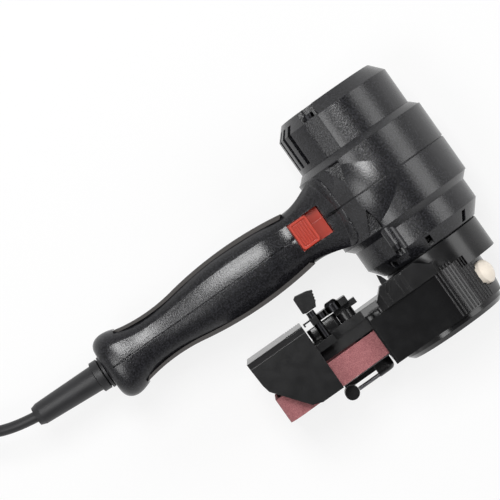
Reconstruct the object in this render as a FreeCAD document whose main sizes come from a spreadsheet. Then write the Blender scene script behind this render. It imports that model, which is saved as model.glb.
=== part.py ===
import FreeCAD, Part

import math
import os
import re

import Sketcher

# Belt sharpener for knives, hand held, with a mains motor across the end of its handle.
# The model is drawn in the tool's own frame: X runs along the handle towards the motor, the
# motor's axis is the Y axis, and the two housing halves part at Y = 0. The tool lies on its
# side, so Z is up. The last step shifts every piece into the row's frame, whose origin is the
# centre of the resting tool's box on the surface it lies on.

V = FreeCAD.Vector
doc = FreeCAD.newDocument("knife_sharpener")

DIMENSIONS = {
    # where the row's origin lies in the tool's frame
    "row_shift_x": 81.65, "row_shift_y": 15.6,
    # motor barrel: the wide flange, the waist in front of it and the nose
    "flange_radius": 34.5, "flange_half": 18.9, "barrel_bore": 28.9,
    "shoulder_radius": 30.6, "rear_end": 22.1, "waist_radius": 30.8, "waist_front": 32.4,
    "cone_front": 38.8, "cone_radius": 25.6, "nose_radius": 21.0, "nose_front": 50.2,
    "front_chamber": 28.0, "bearing_radius": 11.0,
    # rear cap
    "cap_radius": 30.3, "cap_wall": 2.2, "cap_side": 40.9, "cap_end": 47.0, "cap_face": 24.9,
    "cap_screw_circle": 26.3, "front_boss_circle": 29.8, "boss_radius": 3.4, "screw_radius": 1.6, "screw_play": 0.1,
    "head_radius": 2.9, "vent_width": 2.7, "vent_front": 24.8, "vent_back": 44.4,
    # handle stations: distance from the motor axis, half widths to the rear and to the front,
    # and half thickness
    "butt_x": -157.5, "butt_rear": 11.8, "butt_front": 12.6, "butt_half": 11.2,
    "rim_x": -155.2, "rim_rear": 14.9, "rim_front": 15.8, "rim_half": 13.8,
    "heel_x": -150.0, "heel_rear": 16.1, "heel_front": 17.0, "heel_half": 15.2,
    "taper_x": -143.0, "taper_rear": 14.2, "taper_front": 14.9, "taper_half": 14.9,
    "waist_x": -127.0, "waist_rear": 11.3, "waist_side": 11.8, "waist_half": 13.9,
    "palm_x": -108.0, "palm_rear": 13.5, "palm_front": 13.9, "palm_half": 15.2,
    "bulge_x": -88.0, "bulge_rear": 15.5, "bulge_front": 16.3, "bulge_half": 16.4,
    "finger_x": -72.0, "finger_rear": 15.0, "finger_front": 16.1, "finger_half": 16.5,
    "step_x": -64.4, "step_rear": 14.6, "step_front": 15.7, "step_half": 16.3,
    "dip_x": -56.8, "dip_rear": 13.8, "dip_front": 15.0, "dip_half": 14.8,
    "neck_x": -48.0, "neck_rear": 13.2, "neck_front": 14.4, "neck_half": 15.0,
    "throat_x": -24.5, "throat_rear": 17.2, "throat_front": 17.2, "throat_half": 22.6,
    "facet_lean": 4.0,
    # fairing from the handle up the barrel: height above and below the motor's axis, half width
    "root_x": -27.2, "root_side": 8.0, "root_high": 21.9, "root_low": 21.9,
    "crest_x": -17.4, "crest_side": 17.0, "crest_high": 32.3, "crest_low": 31.6,
    "crown_x": -8.5, "crown_side": 16.0, "crown_high": 34.9, "crown_low": 34.2,
    "brow_x": 0.0, "brow_side": 12.0, "brow_high": 35.0, "brow_low": 34.3,
    "point_x": 9.0, "point_side": 8.0, "point_high": 32.8, "point_low": 32.8,
    "fairing_crown": 62.5, "seam_half": 0.3, "seam_depth": 0.5,
    # soft grip pads
    "pad_half_height": 11.0, "pad_thickness": 1.9, "pad_start": -144.6, "pad_joint": -110.0,
    "pad_end": -49.0, "pad_inward": 85.0, "pad_outward": 190.0,
    # slide switch
    "slot_start": -50.3, "slot_end": -33.5, "slot_half": 7.3,
    "switch_floor": 8.2, "switch_ceiling": 12.4, "thumb_start": -49.8, "thumb_end": -40.4,
    "thumb_half": 6.9, "thumb_top": 18.0,
    # motor inside
    "stack_half": 13.0, "field_radius": 28.6, "field_yoke": 25.3, "field_bore": 18.6,
    "armature_radius": 18.0, "shaft_radius": 4.0, "journal_radius": 3.5, "pulley_seat": 3.0,
    "fan_radius": 26.0, "fan_back": 24.0, "fan_front": 30.6, "commutator_radius": 10.0,
    # belt drive
    "drive_radius": 11.0, "idler_radius": 6.0, "idler_x": -93.8, "idler_height": 20.5,
    "belt_back": 55.4, "belt_front": 68.1, "belt_thick": 0.8, "belt_gap": 0.1,
    "axle_radius": 2.0, "running_play": 0.05,
    # cassette: collar, frame, saddle
    "collar_radius": 25.1, "collar_back": 39.3, "collar_front": 50.3, "skirt_front": 55.2,
    "frame_back": 44.4, "frame_front": 54.8, "frame_web": 2.5, "frame_rim": 2.5,
    "hub_centre": -11.5, "hub_radius": 25.6, "arm_end": -86.0, "arm_end_half": 13.0,
    "arm_mid": -45.0, "arm_mid_half": 17.0, "hub_joint_x": -24.3, "hub_joint_half": 22.2,
    "saddle_top": 29.5, "pivot_x": -50.0, "post_radius": 5.0, "stud_radius": 3.0,
    # belt cover with its boss disc
    "cover_radius": 28.0, "cover_wall": 2.0, "cover_back": 50.5, "cover_front": 74.0,
    "cover_left": -44.6, "cover_left_half": 24.7, "cover_joint_x": -14.4,
    "cover_joint_half": 27.85, "disc_radius": 26.5, "disc_front": 78.2, "button_angle": 32.0,
    "button_radius": 5.9, "button_y": 63.0, "button_rim": 29.8, "button_rise": 2.8,
    # tension carriage and tracking arm
    "head_left": -99.0, "head_right": -89.0, "carriage_back": 50.0, "carriage_front": 54.4,
    "pivot_y": 47.5, "trunnion_radius": 1.5,
    # blade guide
    "guide_left": -102.0, "guide_right": -71.4, "guide_back": 34.3, "guide_front": 68.0,
    "guide_half": 34.5, "guide_wall": 2.1, "guide_cut_x": -86.5, "guide_cut_y": 50.0,
    # mains lead
    "cord_radius": 2.7, "relief_tip": -197.6, "relief_lean": 2.5,
    "turn_pitch": 6.0, "coil_inner": 22.9, "pin_radius": 2.4, "pin_length": 19.0,
    "plug_half": 8.6,
}

sizes = doc.addObject("Spreadsheet::Sheet", "sizes")
for row, (name, size) in enumerate(DIMENSIONS.items(), 1):
    sizes.set(f"A{row}", name)
    sizes.set(f"B{row}", str(size))
    sizes.setAlias(f"B{row}", name)
doc.recompute()

pieces = {}


def ref(text):
    """The expression, with each cell's name written as a reference to the sheet."""
    def cell(word):
        return "sizes." + word.group() if word.group() in DIMENSIONS else word.group()
    return re.sub(r"[a-z_]+", cell, str(text))


def value(text):
    """The number that an expression of sheet cells stands for."""
    found = sizes.evalExpression(ref(text))
    return getattr(found, "Value", found)


def origin_feature(owner, role):
    return next(item for item in owner.Origin.OriginFeatures if item.Role == role)


def new_body(label):
    body = doc.addObject("PartDesign::Body", label)
    body.Label = label
    pieces[label] = body
    return body


def sketch_on(owner, role, offset="0"):
    """A sketch on one of the body's own planes, moved along the plane's normal."""
    drawing = owner.newObject("Sketcher::SketchObject", owner.Label + "_sketch")
    drawing.AttachmentSupport = (origin_feature(owner, role), [""])
    drawing.MapMode = "FlatFace"
    drawing.setExpression("AttachmentOffset.Base.z", ref(offset))
    return drawing


def fix_point(drawing, index, place, x, y):
    """Holds a point of the sketch at two expressions."""
    for kind, text in (("DistanceX", x), ("DistanceY", y)):
        number = drawing.addConstraint(Sketcher.Constraint(kind, -1, 1, index, place, value(text)))
        drawing.setExpression(f"Constraints[{number}]", ref(text))


def fix_radius(drawing, index, radius):
    number = drawing.addConstraint(Sketcher.Constraint("Radius", index, abs(value(radius))))
    drawing.setExpression(f"Constraints[{number}]", ref(f"abs({radius})"))


def outline(drawing, *corners):
    """A closed outline. A corner is (x, y), or (x, y, radius) where the side that leads to it is
    an arc of that radius: it turns left where the radius is positive and right where it isn't."""
    points = [V(value(corner[0]), value(corner[1]), 0) for corner in corners]
    first = drawing.GeometryCount
    ends = []
    for number, corner in enumerate(corners):
        start, end = points[number - 1], points[number]
        if len(corner) == 2:
            drawing.addGeometry(Part.LineSegment(start, end))
            ends.append((1, 2))
            continue
        radius = value(corner[2])
        half = (end - start) / 2
        aside = V(-half.y, half.x, 0).normalize() * math.copysign(1, radius)
        centre = start + half + aside * math.sqrt(max(radius ** 2 - half.Length ** 2, 0))
        angles = [math.atan2(point.y - centre.y, point.x - centre.x) for point in (start, end)]
        if radius < 0:
            angles.reverse()
        ends.append((1, 2) if radius > 0 else (2, 1))
        circle = Part.Circle(centre, V(0, 0, 1), abs(radius))
        drawing.addGeometry(Part.ArcOfCircle(circle, angles[0], angles[1]))
    count = len(corners)
    for number in range(count):
        after = (number + 1) % count
        drawing.addConstraint(Sketcher.Constraint(
            "Coincident", first + number, ends[number][1], first + after, ends[after][0]))
        fix_point(drawing, first + number, ends[number][1], *corners[number][:2])
        if len(corners[number]) == 3:
            fix_radius(drawing, first + number, corners[number][2])
    return drawing


def circle(drawing, x, y, radius):
    index = drawing.addGeometry(Part.Circle(V(value(x), value(y), 0), V(0, 0, 1), value(radius)))
    fix_point(drawing, index, 3, x, y)
    fix_radius(drawing, index, radius)
    return drawing


def rectangle(drawing, left, low, right, high):
    return outline(drawing, (left, low), (right, low), (right, high), (left, high))


def extrude(owner, drawing, length, cut=False, flip=False):
    """Adds or cuts along the sketch's normal, or against it where flip is set."""
    feature = owner.newObject("PartDesign::Pocket" if cut else "PartDesign::Pad", "extrusion")
    feature.Profile = drawing
    feature.setExpression("Length", ref(length))
    feature.Reversed = cut != flip
    return feature


def turn(owner, drawing, cut=False, axis="V_Axis"):
    """Turns the sketch once round its own vertical or horizontal axis."""
    feature = owner.newObject("PartDesign::Groove" if cut else "PartDesign::Revolution", "turned")
    feature.Profile = drawing
    feature.ReferenceAxis = (drawing, [axis])
    feature.Angle = 360
    return feature


def loft(owner, drawings, ruled=False):
    feature = owner.newObject("PartDesign::AdditiveLoft", "loft")
    feature.Profile = drawings[0]
    feature.Sections = drawings[1:]
    feature.Ruled = ruled
    return feature


def repeat_round(owner, feature, count, angle, role="Y_Axis", back=False):
    """Repeats a feature round one of the body's axes."""
    pattern = owner.newObject("PartDesign::PolarPattern", "ring")
    pattern.Originals = [feature]
    pattern.Axis = (origin_feature(owner, role), [""])
    pattern.Occurrences = count
    pattern.Angle = angle
    pattern.Reversed = back
    owner.Tip = pattern
    return pattern


def choose_edges(shape, wanted):
    return [f"Edge{number}" for number, edge in enumerate(shape.Edges, 1) if wanted(edge)]


def soften(owner, kind, size, wanted):
    """Rounds or bevels the edges of the body's last feature that the test picks."""
    doc.recompute()
    base = owner.Tip
    feature = owner.newObject("PartDesign::" + kind, "edge")
    feature.Base = (base, choose_edges(base.Shape, wanted))
    feature.setExpression("Radius" if kind == "Fillet" else "Size", ref(size))
    return feature


def turned_piece(label, *corners):
    """A piece turned round the motor's axis, from its section of (radius, Y) corners."""
    body = new_body(label)
    turn(body, outline(sketch_on(body, "XY_Plane"), *corners))
    return body


def slab(label, back, front, *corners):
    """A piece cut from plate square to the motor's axis, between two distances in front of the
    housing's parting plane, from its outline of (X, Z) corners."""
    body = new_body(label)
    extrude(body, outline(sketch_on(body, "XZ_Plane", back), *corners), f"{front} - ({back})")
    return body


def cut_slab(body, back, front, *corners):
    drawing = outline(sketch_on(body, "XZ_Plane", back), *corners)
    return extrude(body, drawing, f"{front} - ({back})", cut=True)


def add_slab(body, back, front, *corners):
    drawing = outline(sketch_on(body, "XZ_Plane", back), *corners)
    return extrude(body, drawing, f"{front} - ({back})")


def bore(body, x, z, radius, back, front):
    """A round hole parallel to the motor's axis."""
    drawing = circle(sketch_on(body, "XZ_Plane", back), x, z, radius)
    return extrude(body, drawing, f"{front} - ({back})", cut=True)


def boss(body, x, z, radius, back, front):
    drawing = circle(sketch_on(body, "XZ_Plane", back), x, z, radius)
    return extrude(body, drawing, f"{front} - ({back})")


def cut_upright(body, low, high, *corners):
    """A cut parallel to Z between two heights, from an outline of (X, Y) corners."""
    return extrude(body, outline(sketch_on(body, "XY_Plane", low), *corners),
                   f"{high} - ({low})", cut=True)


def add_upright(body, low, high, *corners):
    return extrude(body, outline(sketch_on(body, "XY_Plane", low), *corners), f"{high} - ({low})")


def box_corners(left, low, right, high):
    return (left, low), (right, low), (right, high), (left, high)


def rod(name, radius, length, start, direction):
    """A round bar from a point, along a direction."""
    bar = doc.addObject("Part::Cylinder", name)
    bar.setExpression("Radius", ref(radius))
    bar.setExpression("Height", ref(length))
    bar.Placement = FreeCAD.Placement(start, FreeCAD.Rotation(V(0, 0, 1), direction))
    return bar


def joined(label, bars):
    """Several solids as one piece."""
    whole = doc.addObject("Part::MultiFuse" if len(bars) > 1 else "Part::Compound", label)
    if len(bars) > 1:
        whole.Shapes = bars
    else:
        whole.Links = bars
    whole.Label = label
    pieces[label] = whole
    return whole


# Handle and barrel halves

STATIONS = ("butt", "rim", "heel", "taper", "waist", "palm", "bulge", "finger", "step", "dip",
            "neck", "throat")
FAIRING = ("root", "crest", "crown", "brow", "point")
REAR, FRONT = 1, -1


def half_section(body, station, side):
    """Half of the handle's section: a domed top and bottom, round shoulders and a flat side."""
    if side == FRONT and station == "waist":
        width = "waist_side"
    else:
        width = f"{station}_rear" if side == REAR else f"{station}_front"
    half = f"{station}_half"
    drawing = sketch_on(body, "YZ_Plane", f"{station}_x")
    near, far = f"{side} * 0.56 * {width}", f"{side} * {width}"
    shoulder = f"{side} * 0.62 * {width}"
    dome = f"{side} * ((0.56 * {width}) ^ 2 + (0.07 * {half}) ^ 2) / (0.14 * {half})"
    return outline(drawing, ("0", f"-{half}"), (near, f"-0.93 * {half}", dome),
                   (far, f"-0.42 * {half}", shoulder), (far, f"0.42 * {half}"),
                   (near, f"0.93 * {half}", shoulder), ("0", half, dome))


def fairing_section(body, station, side):
    """Half of the fairing's section: one flat arc above and one below, with a flat side."""
    high, low, far = f"{station}_high", f"{station}_low", f"{station}_side"
    drop = f"(fairing_crown - sqrt(fairing_crown ^ 2 - {far} ^ 2))"
    crown = f"{side} * fairing_crown"
    drawing = sketch_on(body, "YZ_Plane", f"{station}_x")
    return outline(drawing, ("0", f"-{low}"), (f"{side} * {far}", f"-{low} + {drop}", crown),
                   (f"{side} * {far}", f"{high} - {drop}"), ("0", high, crown))


def cut_seam(body, side):
    """The shadow line where the halves meet, along the top and the bottom of the handle."""
    for level, tops in ((1, "high"), (-1, "low")):
        floor = [(f"{name}_x", f"{level} * ({name}_half - seam_depth)") for name in STATIONS[1:]]
        floor += [(f"{name}_x", f"{level} * ({name}_{tops} - seam_depth)")
                  for name in FAIRING[:-1]]
        above = [("brow_x", f"{level} * 40"), ("rim_x", f"{level} * 40")]
        reach = ("-seam_half", "0") if side == REAR else ("0", "seam_half")
        cut_slab(body, *reach, *floor, *above)


def housing_half(label, side):
    """Handle, stepped facet in front of the thumb, fairing and its two dark hollows."""
    body = new_body(label)
    loft(body, [half_section(body, station, side) for station in STATIONS])
    facet = outline(sketch_on(body, "XZ_Plane"), ("-65.6", "16.7"), ("-57.4", "14.8"),
                    ("-57.4", "20"), ("-65.6", "20"))
    facet.AttachmentOffset.Rotation = FreeCAD.Rotation(V(1, 0, 0), side * value("facet_lean"))
    extrude(body, facet, "18", cut=True, flip=side == REAR)
    loft(body, [fairing_section(body, station, side) for station in FAIRING[:2]], ruled=True)
    loft(body, [fairing_section(body, station, side) for station in FAIRING[1:]])
    return body


def cut_hollows(body, side):
    """The triangular hollows between fairing and flange, above and below."""
    for low, high in (("26.5", "36"), ("-36", "-26.5")):
        cut_upright(body, low, high, ("-16.4", f"{side} * 7.3"), ("-21.6", f"{side} * 18.4"),
                    ("-13.8", f"{side} * 18.4"))


def handle_cuts(body, side):
    """The hollows that the two halves share: switch chamber, slot, lead channel and gland."""
    def across(low, high, left, right, reach):
        far = f"{side} * {reach}"
        cut_upright(body, low, high, *box_corners(left, "0", right, far))
    across("-7", "switch_ceiling", "-59.5", "-26.8", "8")
    across("switch_ceiling - 1", "22", "slot_start", "slot_end", "slot_half")
    across("-3.2", "3.2", "-147.5", "-59", "3.2")
    gland = rectangle(sketch_on(body, "XY_Plane"), "-158", "0", "-146", f"{side} * 6.2")
    turn(body, gland, cut=True, axis="H_Axis")


def pad_outline(drawing, side, grow="0"):
    """Outline of a soft grip pad, seen from above: a shallow S along the handle's side."""
    if side == REAR:
        start, joint, end = "14.1", "13.8", "13.5"
    else:
        start, joint, end = "14.8", "14.3", "14.7"
    inner = f"pad_thickness + {grow}"
    return outline(
        drawing,
        ("pad_start", f"{side} * {start}", f"-{side} * pad_inward"),
        (f"pad_start + 2 - {grow}", f"{side} * ({start} - {inner})"),
        ("pad_joint", f"{side} * ({joint} - {inner})", f"{side} * (pad_inward + pad_thickness)"),
        (f"pad_end - 2 + {grow}", f"{side} * ({end} - {inner})",
         f"-{side} * (pad_outward - pad_thickness)"),
        ("pad_end", f"{side} * {end}"),
        ("pad_joint", f"{side} * {joint}", f"{side} * pad_outward"))


def seat_pad(body, side):
    """The shallow seat that a grip pad lies in, open to the handle's side."""
    if side == REAR:
        start, joint, end = "14.1", "13.8", "13.5"
    else:
        start, joint, end = "14.8", "14.3", "14.7"
    cut_upright(
        body, "-pad_half_height", "pad_half_height",
        ("pad_start", f"{side} * ({start} + 4)"),
        ("pad_start", f"{side} * {start}"),
        ("pad_start + 2", f"{side} * ({start} - pad_thickness)"),
        ("pad_joint", f"{side} * ({joint} - pad_thickness)",
         f"{side} * (pad_inward + pad_thickness)"),
        ("pad_end - 2", f"{side} * ({end} - pad_thickness)",
         f"-{side} * (pad_outward - pad_thickness)"),
        ("pad_end", f"{side} * {end}"),
        ("pad_end", f"{side} * ({end} + 4)"))


# screw places: handle screws as (X, Z), barrel screws on a circle
HANDLE_SCREWS = (("-150", "-9.5"), ("-66", "-11.5"))
BARREL_SCREW_ANGLES = (116, -116, -30)
CAP_SCREW_ANGLES = (120, 240, -35)
SCREW_CIRCLE = 31.0


def on_circle(radius, angle):
    """X and Z of a point on a circle round the motor's axis."""
    return f"{radius} * cos({angle})", f"{radius} * sin({angle})"


rear = housing_half("rear_housing", REAR)
turn(rear, outline(sketch_on(rear, "XY_Plane"), ("0", "0"), ("flange_radius - seam_depth", "0"),
                   ("flange_radius - seam_depth", "seam_half"), ("flange_radius", "seam_half"),
                   ("flange_radius", "flange_half"), ("flange_radius - 0.5", "flange_half"),
                   ("shoulder_radius", "rear_end"), ("0", "rear_end")))
turn(rear, outline(sketch_on(rear, "XY_Plane"), ("0", "-0.5"), ("barrel_bore", "-0.5"),
                   ("barrel_bore", "rear_end + 0.5"), ("0", "rear_end + 0.5")), cut=True)
cut_seam(rear, REAR)
cut_hollows(rear, REAR)
for angle in CAP_SCREW_ANGLES:
    boss(rear, *on_circle("cap_screw_circle", angle), "boss_radius", "-rear_end", "-14.6")
    bore(rear, *on_circle("cap_screw_circle", angle), "screw_radius + screw_play",
         "-rear_end", "-15.8")
handle_cuts(rear, REAR)
seat_pad(rear, REAR)
for x, z in HANDLE_SCREWS:
    bore(rear, x, z, "screw_radius + screw_play", "-9", "0")
for angle in BARREL_SCREW_ANGLES:
    bore(rear, *on_circle(SCREW_CIRCLE, angle), "screw_radius + screw_play", "-12.4", "0")

front = housing_half("front_housing", FRONT)
turn(front, outline(sketch_on(front, "XY_Plane"), ("0", "0"), ("0", "-nose_front"),
                    ("nose_radius - 1.5", "-nose_front"), ("nose_radius - 1.5", "-48.5"),
                    ("nose_radius", "-48.5"), ("nose_radius", "-39"),
                    ("cone_radius - 0.6", "-39"), ("cone_radius", "-cone_front"),
                    ("waist_radius", "-waist_front"), ("waist_radius", "-flange_half - 3.3"),
                    ("flange_radius - 0.4", "-flange_half"), ("flange_radius", "-flange_half"),
                    ("flange_radius", "-seam_half"), ("flange_radius - seam_depth", "-seam_half"),
                    ("flange_radius - seam_depth", "0")))
cut_seam(front, FRONT)
cut_hollows(front, FRONT)
for angle in BARREL_SCREW_ANGLES:
    boss(front, *on_circle("front_boss_circle", angle), "boss_radius + 0.5", "flange_half",
         "waist_front")
turn(front, outline(sketch_on(front, "XY_Plane"), ("0", "0.5"), ("0", "-nose_front - 1"),
                    ("17", "-nose_front - 1"), ("17", "-42.5"), ("8", "-42.5"), ("8", "-38.6"),
                    ("bearing_radius", "-38.6"), ("bearing_radius", "-31.6"),
                    ("bearing_radius + 2.4", "-31.6"), ("bearing_radius + 2.4", "-36.8"),
                    ("23.2", "-36.8"), ("front_chamber", "-waist_front + 1.2"),
                    ("front_chamber", "-21.5"), ("barrel_bore", "-20"), ("barrel_bore", "0.5")),
     cut=True)
handle_cuts(front, FRONT)
seat_pad(front, FRONT)
for x, z in HANDLE_SCREWS:
    bore(front, x, z, "screw_radius + screw_play", "0", "20")
    bore(front, x, z, "head_radius + screw_play", "9", "20")
for angle in BARREL_SCREW_ANGLES:
    bore(front, *on_circle(SCREW_CIRCLE, angle), "screw_radius + screw_play", "0", "40")
    bore(front, *on_circle(SCREW_CIRCLE, angle), "head_radius + screw_play", "28.6", "40")
window = cut_slab(front, "33.6", "38.1", *box_corners("22", "-1", "34", "1.8"))
repeat_round(front, window, 8, 360)
cut_slab(front, "34.4", "37.6", *(on_circle(radius, angle) for radius, angle in (
    ("26.8", 116), ("34", 116), ("34", 128), ("34", 140), ("26.8", 140), ("26.8", 128))))

# Rear cap with its louvred vents and screw pockets

cap = turned_piece("rear_cap", ("cap_radius", "rear_end"), ("cap_radius", "cap_side"),
                   ("cap_face", "cap_end"), ("0", "cap_end"), ("0", "cap_end - cap_wall"),
                   ("cap_face - 0.9", "cap_end - cap_wall"),
                   ("cap_radius - cap_wall", "cap_side - 0.9"),
                   ("cap_radius - cap_wall", "rear_end"))
ring = circle(sketch_on(cap, "XZ_Plane", "-cap_end + 1"), "0", "0", "12.2")
extrude(cap, ring, "10")
bore(cap, "0", "0", "9.5", "-44", "-30")
for level in (1, -1):
    add_slab(cap, "-44.9", "-39.9", ("-17.8", f"{level} * 17.7"), ("-7.3", f"{level} * 17.7"),
             ("-7.3", f"{level} * 25.6"), ("-17.8", f"{level} * 19.6"))
for angle in CAP_SCREW_ANGLES:
    boss(cap, *on_circle("cap_screw_circle", angle), "boss_radius", "-cap_end + 3", "-rear_end")
    bore(cap, *on_circle("cap_screw_circle", angle), "screw_radius + screw_play",
         "-cap_end - 1", "-rear_end + 1")
    bore(cap, *on_circle("cap_screw_circle", angle), "head_radius + 0.9", "-cap_end - 1", "-41.4")
for back in (False, True):
    vent = cut_upright(cap, "-vent_width / 2", "vent_width / 2",
                       *box_corners("-32", "vent_front", "-21", "vent_back"))
    repeat_round(cap, vent, 4, 34, back=back)
for level in (1, -1):
    cut_slab(cap, "-48", "-41.4", ("-16.9", f"{level} * 19.2"), ("-8.6", f"{level} * 19.2"),
             ("-8.6", f"{level} * 32"), ("-16.9", f"{level} * 32"))
    cut_slab(cap, "-41.5", "-20", ("-16.9", f"{level} * 24.4"), ("-9.4", f"{level} * 27.6"),
             ("-9.4", f"{level} * 32"), ("-16.9", f"{level} * 32"))

# Soft grip pads

for label, side in (("grip_pad_rear", REAR), ("grip_pad_front", FRONT)):
    pad = new_body(label)
    extrude(pad, pad_outline(sketch_on(pad, "XY_Plane", "-pad_half_height + 0.1"), side),
            "2 * (pad_half_height - 0.1)")

# Slide switch: the red slider and the switch under it

slider = new_body("switch_slider")
extrude(slider, rectangle(sketch_on(slider, "XY_Plane", "switch_floor + 0.3"),
                          "-58.6", "-7.6", "slot_end - 0.4", "7.6"),
        "switch_ceiling - switch_floor - 0.6")
extrude(slider, rectangle(sketch_on(slider, "XY_Plane", "switch_ceiling - 0.8"),
                          "thumb_start", "-thumb_half", "thumb_end", "thumb_half"),
        "thumb_top - (switch_ceiling - 0.8)")
soften(slider, "Fillet", "1.6", lambda edge: edge.BoundBox.ZLength > 3.5
       and edge.BoundBox.XLength + edge.BoundBox.YLength < 0.01
       and edge.BoundBox.ZMax > value("thumb_top") - 0.1)

cut_upright(slider, "thumb_top - 0.9", "thumb_top + 1", *box_corners("-48.7", "-5.8", "-41.5", "5.8"))
for number in range(5):
    extrude(slider, rectangle(sketch_on(slider, "XY_Plane", "thumb_top - 1"),
                              f"-48.1 + {number} * 1.35", "-5.2", f"-47.5 + {number} * 1.35", "5.2"),
            "0.85")
cut_upright(slider, "switch_ceiling - 1.1", "switch_ceiling",
            *box_corners("thumb_end + 0.3", "1.2", "slot_end", "8"))

switch = new_body("switch_body")
extrude(switch, rectangle(sketch_on(switch, "XY_Plane", "-6.6"), "-57.5", "-7.8", "-29", "7.8"),
        "switch_floor + 6.5")

# Motor inside the barrel

field = new_body("field_core")
extrude(field, circle(sketch_on(field, "XZ_Plane", "-stack_half"), "0", "0", "field_radius"),
        "2 * stack_half")
bore(field, "0", "0", "field_yoke", "-stack_half", "stack_half")
for side in (1, -1):
    add_slab(field, "-stack_half", "stack_half",
             *box_corners(f"{side} * 18.9", "-6.8", f"{side} * 25.9", "6.8"))
    add_slab(field, "-stack_half", "stack_half",
             (f"{side} * 11", "-15.5"),
             (f"{side} * 11", "15.5", f"{side} * field_bore"),
             (f"{side} * 12.4", "16.4"),
             (f"{side} * 12.4", "-16.4", f"-{side} * 20.3"))

coils = []
for side in (1, -1):
    hoop = doc.addObject("Part::Box", "coil_block")
    hoop.Length, hoop.Width, hoop.Height = 1.7, 35, 23
    hoop.Placement.Base = V(20.5 if side > 0 else -22.2, -17.5, -11.5)
    window = doc.addObject("Part::Box", "coil_window")
    window.Length, window.Width, window.Height = 1.7, 26.4, 14.2
    window.Placement.Base = V(20.5 if side > 0 else -22.2, -13.2, -7.1)
    coil = doc.addObject("Part::Cut", "coil")
    coil.Base, coil.Tool = hoop, window
    coils.append(coil)
joined("field_coils", coils)

turned_piece("rear_bearing", ("journal_radius + running_play", "36.2"), ("9.4", "36.2"),
             ("9.4", "43.2"), ("journal_radius + running_play", "43.2"))
turned_piece("front_bearing", ("shaft_radius + running_play", "-31.8"),
             ("bearing_radius - 0.1", "-31.8"), ("bearing_radius - 0.1", "-38.5"),
             ("shaft_radius + running_play", "-38.5"))

holders = []
brushes = []
for side in (1, -1):
    holder = doc.addObject("Part::Box", "holder_tube")
    holder.Length, holder.Width, holder.Height = 8, 9, 14.6
    holder.Placement.Base = V(-4, 21, 11.6 if side > 0 else -26.2)
    window = doc.addObject("Part::Box", "holder_window")
    window.Length, window.Width, window.Height = 6.2, 7.2, 14.6
    window.Placement.Base = V(-3.1, 21.9, 11.6 if side > 0 else -26.2)
    tube = doc.addObject("Part::Cut", "holder")
    tube.Base, tube.Tool = holder, window
    holders.append(tube)
    brush = doc.addObject("Part::Box", "brush")
    brush.Length, brush.Width, brush.Height = 6, 7, 12
    brush.Placement.Base = V(-3, 22, 10.2 if side > 0 else -22.2)
    brushes.append(brush)
joined("brush_holders", holders)
joined("carbon_brushes", brushes)

turned_piece("armature_shaft", ("0", "44"), ("journal_radius", "44"), ("journal_radius", "35"),
             ("shaft_radius", "34.5"), ("shaft_radius", "-54"), ("pulley_seat", "-54.5"),
             ("pulley_seat", "-68.6"), ("0", "-68.6"))

armature = new_body("armature_core")
drawing = circle(sketch_on(armature, "XZ_Plane", "-stack_half"), "0", "0", "armature_radius")
extrude(armature, circle(drawing, "0", "0", "shaft_radius"), "2 * stack_half")
slot = cut_slab(armature, "-stack_half", "stack_half", *box_corners("10", "-1.1", "19", "1.1"))
repeat_round(armature, slot, 12, 360)

windings = []
for near, far in ((13.1, 19.2), (-18.6, -13.1)):
    body = doc.addObject("Part::Cone", "end_turns")
    body.Radius1, body.Radius2, body.Height = (16.6, 13.0, far - near) if near > 0 else \
        (13.0, 16.6, far - near)
    body.Placement = FreeCAD.Placement(V(0, near, 0), FreeCAD.Rotation(V(1, 0, 0), -90))
    hole = doc.addObject("Part::Cylinder", "end_turns_bore")
    hole.Radius, hole.Height = 4.0, far - near
    hole.Placement = body.Placement
    ring = doc.addObject("Part::Cut", "end_ring")
    ring.Base, ring.Tool = body, hole
    windings.append(ring)
joined("armature_windings", windings)

commutator = new_body("commutator")
drawing = circle(sketch_on(commutator, "XZ_Plane", "-31"), "0", "0", "commutator_radius")
extrude(commutator, circle(drawing, "0", "0", "shaft_radius"), "11.6")
slot = cut_slab(commutator, "-31", "-19.4", *box_corners("9.2", "-0.35", "11", "0.35"))
repeat_round(commutator, slot, 24, 360)

fan = turned_piece("cooling_fan", ("shaft_radius", "-22.8"), ("8", "-22.8"), ("8", "-fan_back"),
                   ("fan_radius", "-fan_back"), ("fan_radius", "-fan_back - 1.4"),
                   ("7", "-fan_back - 1.4"), ("7", "-fan_front"), ("shaft_radius", "-fan_front"))
blade = add_slab(fan, "fan_back + 1", "fan_front - 0.4",
                 *box_corners("12", "-0.7", "25.4", "0.7"))
repeat_round(fan, blade, 12, 360)

pulley = turned_piece("drive_pulley", ("pulley_seat", "-55.6"), ("drive_radius - 0.2", "-55.6"),
                      ("drive_radius", "-60"), ("drive_radius", "-63.6"),
                      ("drive_radius - 0.2", "-67.9"), ("9", "-67.9"), ("9", "-62"),
                      ("6", "-62"), ("6", "-67.9"), ("pulley_seat", "-67.9"))
turned_piece("pulley_screw", ("0", "-68.6"), ("4.6", "-68.6"), ("4.6", "-70.2"),
             ("3.2", "-71.4"), ("0", "-71.4"))

# Cassette: collar that turns on the nose, frame, saddle

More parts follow.
